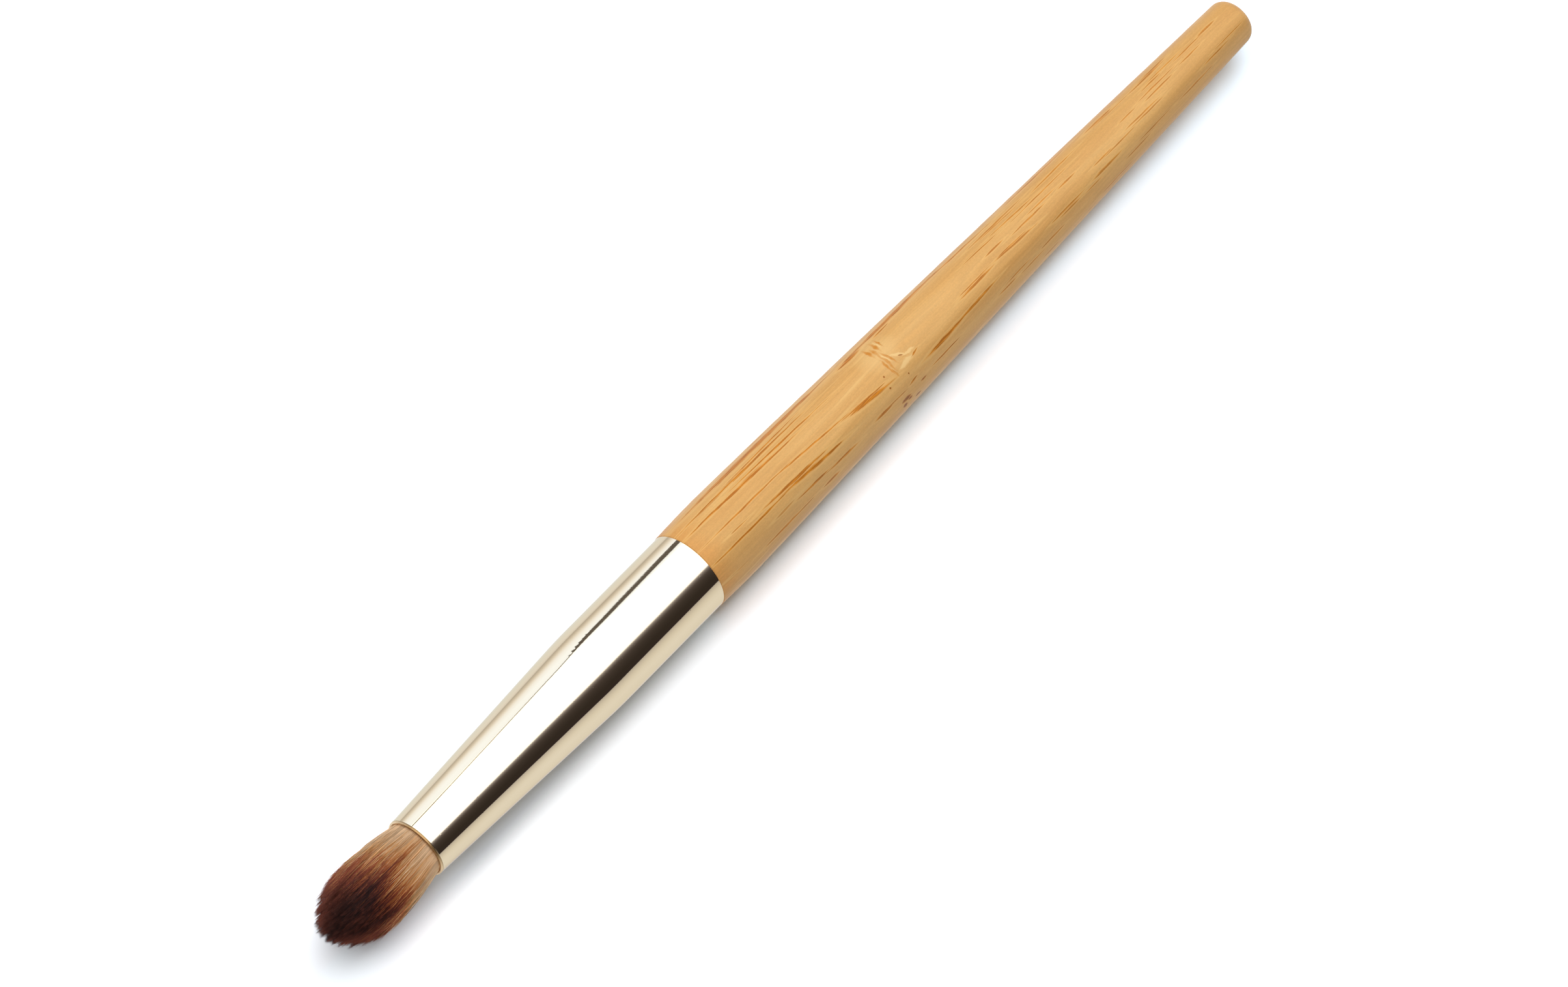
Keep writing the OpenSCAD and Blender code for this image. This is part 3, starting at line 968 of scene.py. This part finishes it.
@dataclass
class Tuft:
    """The hair: thousands of fine strands in pointed locks, round a packed heart.

    Its outline is the CAD tuft's: the hair spreads from the mouth to a belly and closes to a dome.
    Places across the tuft are in the plane of Y and Z, and heights count from the mouth.
    """

    finish: bpy.types.Material
    hair_len_mm: float = 14.9
    mouth_r_mm: float = 3.53
    belly_r_mm: float = 4.375
    belly_h_mm: float = 8.1
    closing_share: float = 0.2
    dome_power: float = 1.79
    dome_root: float = 0.57
    strand_count: int = 12600
    lock_count: int = 320
    strand_r_mm: float = 0.028
    start_h_mm: float = -2.0
    root_scatter_mm: float = 0.02
    centre_scatter_mm: float = 0.06
    lock_pull: float = 0.78
    pull_power: int = 3
    length_scatter: float = 0.05
    short_scatter: float = 0.35
    lock_scatter_mm: float = 0.3
    lean_mm: float = 0.12
    flare_mm: float = 0.16
    flare_range: tuple[float, float] = (-0.2, 1.0)
    flare_power: int = 7
    stray_mm: float = 0.07
    loose_factor: float = 3.0
    loose_share: float = 0.14
    short_share: float = 0.15
    wander_mm: float = 0.09
    wander_len_mm: float = 9.0
    calm_h_mm: float = 3.0
    skew_mm: float = 0.4
    skew_power: int = 4
    seed: int = 11
    path_shares: tuple[float, ...] = (0.0, 0.2, 0.38, 0.54, 0.69, 0.82, 0.92, 1.0)
    girth_shares: tuple[float, ...] = (1.0, 1.0, 1.0, 1.0, 0.9, 0.75, 0.5, 0.14)
    layer_names: tuple[str, ...] = ("tuft_inner", "tuft_middle", "tuft_upper", "tuft_mantle")

    # The heart's radii and heights: the roots with their squeeze by the thread, then its dome
    root_outline_mm: tuple[tuple[float, float], ...] = (
        (0.0, -15.0),
        (3.5, -15.0),
        (3.5, -12.8),
        (3.25, -12.3),
        (3.25, -9.5),
        (3.5, -9.0),
        (3.5, 0.0),
    )
    heart_dome_mm: tuple[float, float] = (1.0, 11.5)
    heart_top_mm: float = 12.2
    heart_share: float = 0.965
    heart_closing: float = 0.43
    heart_sides: int = 48
    pieces: list[bpy.types.Object] = field(default_factory=list)

    def spread(self, height: np.ndarray) -> np.ndarray:
        """How far the hair has spread at a height above the mouth.

        Args:
            height: Heights above the mouth, in millimetres.

        Returns:
            The scale of the mouth's disc at each height.
        """
        widest = self.belly_r_mm / self.mouth_r_mm
        low = 1 + (widest - 1) * np.sin(np.pi / 2 * np.clip(height, 0, None) / self.belly_h_mm)
        way = (height - self.belly_h_mm) / (self.hair_len_mm - self.belly_h_mm)
        high = widest * (1 - self.closing_share * way**2)
        return np.where(height < self.belly_h_mm, low, high)

    def dome_height(self, radius: np.ndarray) -> np.ndarray:
        """Height of the dome above the mouth.

        Args:
            radius: Distances from the axis, in millimetres.

        Returns:
            The height at each of them, in millimetres.
        """
        inward = 1 - np.clip(radius / self.belly_r_mm, 0, 1) ** (1 / self.dome_root)
        dome = self.hair_len_mm - self.belly_h_mm
        return self.belly_h_mm + dome * inward ** (1 / self.dome_power)

    def tip_height(self, radius: np.ndarray) -> np.ndarray:
        """Height at which strands meet the dome.

        Args:
            radius: Distances from the axis at which they start, in millimetres.

        Returns:
            The height of each, in millimetres.
        """
        height = np.full_like(radius, self.belly_h_mm)
        for _ in range(6):
            height = self.dome_height(radius * self.spread(height))
        return height

    @staticmethod
    def _sunflower(count: int, radius: float) -> np.ndarray:
        """Spreads points evenly over a disc.

        Args:
            count: How many points.
            radius: The disc's radius.

        Returns:
            The points, one row each.
        """
        order = np.arange(count)
        distance = radius * np.sqrt((order + 0.5) / count)
        turn = order * math.pi * (3 - math.sqrt(5))
        return np.stack([distance * np.cos(turn), distance * np.sin(turn)], axis=1)

    def build(self) -> None:
        """Builds the heart and the four layers of strands."""
        self.pieces.append(self._heart())
        chance = np.random.default_rng(self.seed)
        roots = self._sunflower(self.strand_count, self.mouth_r_mm)
        roots += chance.normal(0, self.root_scatter_mm, roots.shape)
        locks = self._sunflower(self.lock_count, self.mouth_r_mm)
        locks += chance.normal(0, self.centre_scatter_mm, locks.shape)
        gaps = ((roots[:, None, :] - locks[None, :, :]) ** 2).sum(axis=2)
        owner = gaps.argmin(axis=1)
        lock_length = chance.uniform(-1, 1, self.lock_count) * self.lock_scatter_mm
        lock_lean = chance.normal(0, self.lean_mm, locks.shape)
        lock_tone = chance.uniform(0, 1, self.lock_count)
        tone = chance.uniform(0, 1, self.strand_count)

        # Most strands end at the dome, and a few are cut short
        radius = np.linalg.norm(roots, axis=1)
        top = self.tip_height(radius)
        short = chance.uniform(0, 1, self.strand_count) < self.short_share
        scatter = np.where(short, self.short_scatter, self.length_scatter)
        top *= 1 - scatter * chance.uniform(0, 1, self.strand_count)
        top += lock_length[owner]
        loose = chance.uniform(0, 1, self.strand_count) < self.loose_share
        stray = chance.normal(0, self.stray_mm, roots.shape)
        stray *= np.where(loose, self.loose_factor, 1.0)[:, None]

        # Each strand bends from its root towards the middle of its lock
        shares = np.array(self.path_shares)
        height = self.start_h_mm + (top[:, None] - self.start_h_mm) * shares[None, :]
        way = np.clip(height / top[:, None], 0, 1)[:, :, None]
        pull = self.lock_pull * way**self.pull_power
        drawn = roots[:, None, :] * (1 - pull) + locks[owner][:, None, :] * pull
        drawn += (lock_lean[owner] + stray)[:, None, :] * way**2
        drawn *= self.spread(height)[:, :, None]

        # Strands wander in and out of their layer, and the tips of some stand off the dome
        phase = chance.uniform(0, 2 * math.pi, roots.shape)
        swing = 2 * math.pi * height[:, :, None] / self.wander_len_mm + phase[:, None, :]
        calm = np.clip(height[:, :, None] / self.calm_h_mm, 0, 1)
        drawn += self.wander_mm * np.sin(swing) * calm
        outward = roots / np.maximum(radius, 0.2)[:, None]
        flare = self.flare_mm * chance.uniform(*self.flare_range, self.lock_count)[owner]
        drawn += (flare[:, None] * outward)[:, None, :] * way**self.flare_power

        # The whole dome leans a little to the upper flank
        risen = height[:, :, None] / self.hair_len_mm
        drawn -= self.skew_mm * way**2 * risen**self.skew_power * np.array(ACROSS[1:])
        paths = np.empty((*height.shape, 3))
        paths[:, :, 0] = MOUTH_X_MM - height
        paths[:, :, 1] = drawn[:, :, 0]
        paths[:, :, 2] = AXIS_Z_MM + drawn[:, :, 1]
        paths *= MM

        # Roots run outwards in the sunflower, so equal runs of strands are layers of the tuft
        layers = np.array_split(np.arange(self.strand_count), len(self.layer_names))
        for name, rows in zip(self.layer_names, layers):
            values = {
                "strand": np.repeat(tone[rows], len(shares)),
                "lock": np.repeat(lock_tone[owner][rows], len(shares)),
                "from_tip": (top[rows, None] - height[rows]).ravel(),
            }
            self.pieces.append(self._layer(name, paths[rows], values))

    def _layer(
        self, name: str, paths: np.ndarray, values: dict[str, np.ndarray]
    ) -> bpy.types.Object:
        """Builds one layer of strands as a mesh.

        Args:
            name: The piece's name.
            paths: Each strand's points, in metres.
            values: What each of these points hands to the finish.

        Returns:
            The piece.
        """
        curve = bpy.data.curves.new(name, "CURVE")
        curve.dimensions = "3D"
        curve.resolution_u = 1
        curve.bevel_resolution = 0
        curve.bevel_depth = self.strand_r_mm * MM
        weighted = np.concatenate([paths, np.ones((*paths.shape[:2], 1))], axis=2)
        for path in weighted:
            spline = curve.splines.new("POLY")
            spline.points.add(len(path) - 1)
            spline.points.foreach_set("co", path.ravel())
            spline.points.foreach_set("radius", self.girth_shares)
        strands = link_object(name + "_curve", curve)
        bpy.context.view_layer.update()
        drawn = strands.evaluated_get(bpy.context.evaluated_depsgraph_get())
        mesh = bpy.data.meshes.new_from_object(drawn)
        bpy.data.objects.remove(strands)
        bpy.data.curves.remove(curve)
        mesh.name = name
        sides = len(mesh.vertices) // (paths.shape[0] * paths.shape[1])
        return self._finished(mesh, {key: np.repeat(row, sides) for key, row in values.items()})

    def _heart(self) -> bpy.types.Object:
        """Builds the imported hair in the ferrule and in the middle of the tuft, as a turned solid.

        Returns:
            The piece.
        """
        outline = list(self.root_outline_mm)
        for height in np.linspace(*self.heart_dome_mm, 9):
            closing = self.heart_closing * (height / self.heart_dome_mm[1]) ** 2.5
            radius = self.mouth_r_mm * (self.heart_share - closing) * float(self.spread(height))
            outline.append((radius, float(height)))
        outline.append((0.0, self.heart_top_mm))
        shape = bmesh.new()
        points = [
            shape.verts.new(((MOUTH_X_MM - height) * MM, 0.0, (AXIS_Z_MM + radius) * MM))
            for radius, height in outline
        ]
        edges = [shape.edges.new(pair) for pair in zip(points, points[1:])]
        bmesh.ops.spin(
            shape,
            geom=points + edges,
            cent=(0.0, 0.0, AXIS_Z_MM * MM),
            axis=(1.0, 0.0, 0.0),
            angle=2 * math.pi,
            steps=self.heart_sides,
            use_merge=True,
        )
        bmesh.ops.remove_doubles(shape, verts=shape.verts, dist=0.001 * MM)
        bmesh.ops.recalc_face_normals(shape, faces=shape.faces)
        mesh = bpy.data.meshes.new("tuft_heart")
        shape.to_mesh(mesh)
        shape.free()
        plain = {"strand": 0.4, "lock": 0.5, "from_tip": 10.0}
        count = len(mesh.vertices)
        return self._finished(mesh, {key: np.full(count, row) for key, row in plain.items()})

    def _finished(
        self, mesh: bpy.types.Mesh, values: dict[str, np.ndarray]
    ) -> bpy.types.Object:
        """Smooths a mesh of hair, gives it its finish and puts it in the scene.

        Args:
            mesh: The mesh.
            values: What each vertex hands to the finish.

        Returns:
            The piece.
        """
        for label, row in values.items():
            attribute = mesh.attributes.new(label, "FLOAT", "POINT")
            attribute.data.foreach_set("value", row.astype(np.float32))
        mesh.polygons.foreach_set("use_smooth", [True] * len(mesh.polygons))
        mesh.materials.clear()
        mesh.materials.append(self.finish)
        return link_object(mesh.name, mesh)

    def dress(self) -> None:
        """Puts the pieces on the brush in place of the CAD tuft."""
        for piece in self.pieces:
            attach(piece, BODY)
            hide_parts("bristles")
            # Light passes between and through the outermost strands
            piece.visible_shadow = piece.name != self.layer_names[-1]
            log.info("%s: %d faces", piece.name, len(piece.data.polygons))


@dataclass
class TurnedParts:
    """The CAD nodes that keep their meshes: handle, ferrule, thread and the two glues."""

    finishes: dict[Node, bpy.types.Material]

    def dress(self) -> None:
        """Gives each node its finish."""
        for node, finish in self.finishes.items():
            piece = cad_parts[node.value]
            for holder in piece.material_slots:
                holder.material = finish
            log.info("%s: %s", node.value, finish.name)


@dataclass
class Studio:
    """A white table under a wide soft light, and the camera at the photograph's angle.

    Gloss shows a studio of its own. There the light changes with the turn about the brush's axis,
    which is 0 straight up and 90 degrees level on the -Y side.
    """

    camera_at: tuple[float, float, float] = (-0.36815, -0.29921, 0.70642)
    heading_deg: float = 39.318
    dip_deg: float = 56.178
    lens_mm: float = 171.0
    film_mm: float = 36.0
    clip: tuple[float, float] = (0.01, 50.0)
    lamp_at: tuple[float, float, float] = (0.0, 0.055, 0.5)
    lamp_size: tuple[float, float] = (1.2, 0.5)
    lamp_power: float = 4.25
    fill_level: float = 0.26
    gloss_level: float = 2.2
    gap_light: tuple[float, float, float, float] = (0.07, 0.062, 0.056, 1.0)
    table_half: float = 3.0
    table_tone: tuple[float, float, float, float] = (1.155, 1.19, 1.245, 1.0)
    # From the first distance outwards the table fades to white, which paints the shadow at the
    # brush's ends lighter
    table_fade: tuple[float, float] = (0.045, 0.3)
    # Half the length along X over which the painted shadow tone runs
    shadow_y_mm: tuple[float, float] = (-5.8, -3.6)
    painted_shadow_half_mm: float = 90.0
    near_reach_mm: float = -125.0
    far_reach_mm: float = 400.0

    # The turn in degrees and the light there
    studio_light: LightStops = (
        (-180.0, (0.30, 0.29, 0.27)),
        (-89.0, (0.31, 0.30, 0.28)),
        (-84.0, (0.37, 0.35, 0.33)),
        (-78.5, (0.45, 0.44, 0.43)),
        (-73.0, (0.52, 0.53, 0.55)),
        (-67.0, (0.57, 0.61, 0.68)),
        (-56.0, (0.60, 0.67, 0.78)),
        (-42.0, (0.60, 0.67, 0.78)),
        (-38.0, (1.00, 1.00, 1.00)),
        (44.0, (1.00, 1.00, 1.00)),
        (48.0, (0.20, 0.19, 0.20)),
        (52.0, (0.095, 0.085, 0.088)),
        (57.0, (0.044, 0.036, 0.035)),
        (63.0, (0.031, 0.025, 0.023)),
        (69.0, (0.025, 0.020, 0.018)),
        (80.0, (0.019, 0.015, 0.013)),
        (180.0, (0.019, 0.015, 0.013)),
    )
    # The lower and the upper edge of the dark gap in the light, in degrees, by the ray's own X
    gap_low_deg: ValueStops = (
        (0.299, 38.4),
        (0.305, 38.7),
        (0.33, 43.2),
        (0.352, 48.6),
        (0.372, 51.7),
        (0.402, 53.0),
        (0.416, 61.0),
    )
    gap_high_deg: ValueStops = (
        (0.299, 35.4),
        (0.305, 36.9),
        (0.33, 41.3),
        (0.404, 43.3),
        (0.417, 48.0),
    )
    # Painted shadow on the table beside the brush, from its tip to its end, in the narrow shadow:
    # deeper beside the metal, lighter and cooler beside the wood against its warm bounce
    painted_shadow_tone: LightStops = (
        (0.067, (1.14, 1.21, 1.27)),
        (0.1, (0.97, 1.04, 1.14)),
        (0.167, (0.77, 0.83, 0.91)),
        (0.25, (0.85, 0.91, 0.99)),
        (0.36, (0.88, 0.95, 1.03)),
        (0.42, (1.11, 1.35, 1.56)),
        (0.6, (1.16, 1.41, 1.63)),
        (0.67, (1.25, 1.50, 1.75)),
        (0.78, (1.26, 1.49, 1.72)),
        (0.9, (1.19, 1.40, 1.60)),
    )
    # The table in the metal, outwards from the brush: it ends about 80 mm away at -Y
    near_table: LightStops = (
        (0.028, (0.78, 0.78, 0.83)),
        (0.036, (0.90, 0.90, 0.93)),
        (0.05, (1.00, 1.01, 1.00)),
        (0.09, (1.01, 1.01, 0.98)),
        (0.13, (0.97, 0.96, 0.91)),
        (0.16, (0.93, 0.91, 0.85)),
        (0.21, (0.86, 0.84, 0.78)),
        (0.3, (0.76, 0.73, 0.69)),
        (0.5, (0.62, 0.60, 0.57)),
        (0.58, (0.54, 0.52, 0.50)),
        (0.66, (0.04, 0.03, 0.03)),
    )
    far_table: LightStops = (
        (0.022, (1.16, 1.29, 1.50)),
        (0.032, (1.04, 1.13, 1.28)),
        (0.045, (1.04, 1.11, 1.20)),
        (0.11, (1.04, 1.06, 1.10)),
        (0.22, (0.97, 0.97, 0.99)),
        (0.8, (0.62, 0.59, 0.57)),
    )

    def build(self) -> None:
        """Builds the camera, the lamp, the surroundings and the table."""
        self._camera()
        self._lamp()
        self._surroundings()
        self._table()
        bpy.context.scene.view_settings.view_transform = "Standard"

    def _camera(self) -> None:
        """Puts the camera where the photograph was taken from."""
        camera = link_object("camera", bpy.data.cameras.new("camera"))
        camera.data.lens = self.lens_mm
        camera.data.sensor_width = self.film_mm
        camera.data.clip_start, camera.data.clip_end = self.clip
        heading, dip = math.radians(self.heading_deg), math.radians(self.dip_deg)
        level = math.cos(dip)
        ahead = Vector((level * math.cos(heading), level * math.sin(heading), -math.sin(dip)))
        turned = ahead.to_track_quat("-Z", "Y").to_matrix().to_4x4()
        camera.matrix_world = Matrix.Translation(self.camera_at) @ turned
        bpy.context.scene.camera = camera

    def _lamp(self) -> None:
        """Hangs the wide soft light over the brush. Gloss shows the surroundings instead of it."""
        lamp = bpy.data.lights.new("softbox", "AREA")
        lamp.shape = "RECTANGLE"
        lamp.size, lamp.size_y = self.lamp_size
        lamp.energy = self.lamp_power
        holder = link_object("softbox", lamp)
        holder.location = self.lamp_at
        holder.visible_glossy = False

    def _surroundings(self) -> None:
        """Makes the world: white to the camera, and to gloss a studio with a dark side."""
        world = bpy.data.worlds.new("studio")
        world.use_nodes = True
        bpy.context.scene.world = world
        world.node_tree.nodes.clear()
        node = partial(add, world.node_tree)
        ray = node("SeparateXYZ", {"Vector": node("TexCoord").outputs["Generated"]}).outputs
        level = node("Math", {0: ray["Y"], 1: -1.0}, operation="MULTIPLY")
        turn = node("Math", {0: level, 1: ray["Z"]}, operation="ARCTAN2")
        turn = node("Math", {0: turn}, operation="DEGREES")
        share = node("MapRange", {"Value": turn, "From Min": -180.0, "From Max": 180.0})
        stops = [((angle + 180) / 360, light) for angle, light in self.studio_light]
        studio = node("ValToRGB", {"Fac": share}, stops=stops)

        # A dark gap beside the light: a thin line on the cone, and a band on the straight stretch
        gap: Any = 1.0
        for edge_deg, sign in ((self.gap_low_deg, 1.0), (self.gap_high_deg, -1.0)):
            edge = node("ValToRGB", {"Fac": ray["X"]}, stops=edge_deg)
            past = node("Math", {0: turn, 1: edge}, operation="ADD")
            past = node("Math", {0: past, 1: sign}, operation="MULTIPLY")
            inside = node("MapRange", {"Value": past, "From Min": -0.5, "From Max": 0.5})
            gap = node("Math", {0: gap, 1: inside}, operation="MULTIPLY")
        gapped = node("Mix", {"Factor": gap, "A": studio, "B": self.gap_light}, data_type="RGBA")
        fill, gloss, white = (
            node("Background", {"Color": light, "Strength": strength})
            for light, strength in (
                ("#FFFFFF", self.fill_level),
                (gapped, self.gloss_level),
                ("#FFFFFF", 1.0),
            )
        )
        node("OutputWorld", {"Surface": by_ray(node, fill, gloss, white)})

    def _table(self) -> None:
        """Lays the white table top, which keeps the brush's shadow and paints that shadow's tone
        beside the brush.
        """
        shape = bmesh.new()
        bmesh.ops.create_grid(shape, x_segments=1, y_segments=1, size=self.table_half)
        mesh = bpy.data.meshes.new("table_top")
        shape.to_mesh(mesh)
        shape.free()
        material, node = new_material("white_table")
        own = node("TexCoord").outputs["Object"]
        place = node("SeparateXYZ", {"Vector": own}).outputs

        # Painted shadow: in the narrow shadow the paper's tone is painted deeper beside the metal,
        # and lighter and cooler beside the wood so that the wood's warm glow doesn't show
        half = self.painted_shadow_half_mm * MM
        along = node("MapRange", {"Value": place["X"], "From Min": -half, "From Max": half})
        beside = node("ValToRGB", {"Fac": along}, stops=self.painted_shadow_tone)
        outer, inner = (distance * MM for distance in self.shadow_y_mm)
        shaded = node("MapRange", {"Value": place["Y"], "From Min": outer, "From Max": inner})
        this_side = node("Math", {0: place["Y"], 1: 0.0}, operation="LESS_THAN")
        painted_shadow_share = node("Math", {0: shaded, 1: this_side}, operation="MULTIPLY")
        tones = {"Factor": painted_shadow_share, "A": self.table_tone, "B": beside}
        lit = node("BsdfDiffuse", {"Color": node("Mix", tones, data_type="RGBA")})

        # Further from the middle the table turns to plain white. This already starts beside the
        # brush's two ends, where it paints their shadow lighter
        away = node("VectorMath", {0: own}, operation="LENGTH").outputs["Value"]
        start, end = self.table_fade
        fade = node("MapRange", {"Value": away, "From Min": start, "From Max": end})
        white = node("Emission", {"Color": "#FFFFFF", "Strength": 1.0})
        seen = node("MixShader", {"Fac": fade, 1: lit, 2: white})
        near, far = (
            node(
                "ValToRGB",
                {"Fac": node("MapRange", {"Value": place["Y"], "From Max": reach_mm * MM})},
                stops=stops,
            )
            for reach_mm, stops in (
                (self.near_reach_mm, self.near_table),
                (self.far_reach_mm, self.far_table),
            )
        )
        beyond = node("Math", {0: place["Y"], 1: 4 * MM}, operation="GREATER_THAN")
        sheen = node("Mix", {"Factor": beyond, "A": near, "B": far}, data_type="RGBA")
        mirrored = node("Emission", {"Color": sheen, "Strength": 1.0})
        plain = node("BsdfDiffuse", {"Color": "#EAEAEA"})
        node("OutputMaterial", {"Surface": by_ray(node, plain, mirrored, seen)})
        mesh.materials.append(material)
        link_object("table_top", mesh)


def main() -> None:
    """Builds the brush's looks and its studio, in order."""
    logging.basicConfig(level=logging.INFO, format="%(message)s")
    Studio().build()
    TurnedParts(
        {
            Node.HANDLE: LacqueredBamboo().make(),
            Node.FERRULE: ChampagneMetal().make(),
            Node.THREAD: WaxedThread().make(),
            Node.ROOT_GLUE: CastResin().make(),
            Node.TENON_GLUE: WoodGlue().make(),
        }
    ).dress()
    tuft = Tuft(DipDyedFilament().make())
    tuft.build()
    tuft.dress()


if __name__ == "__main__":
    main()
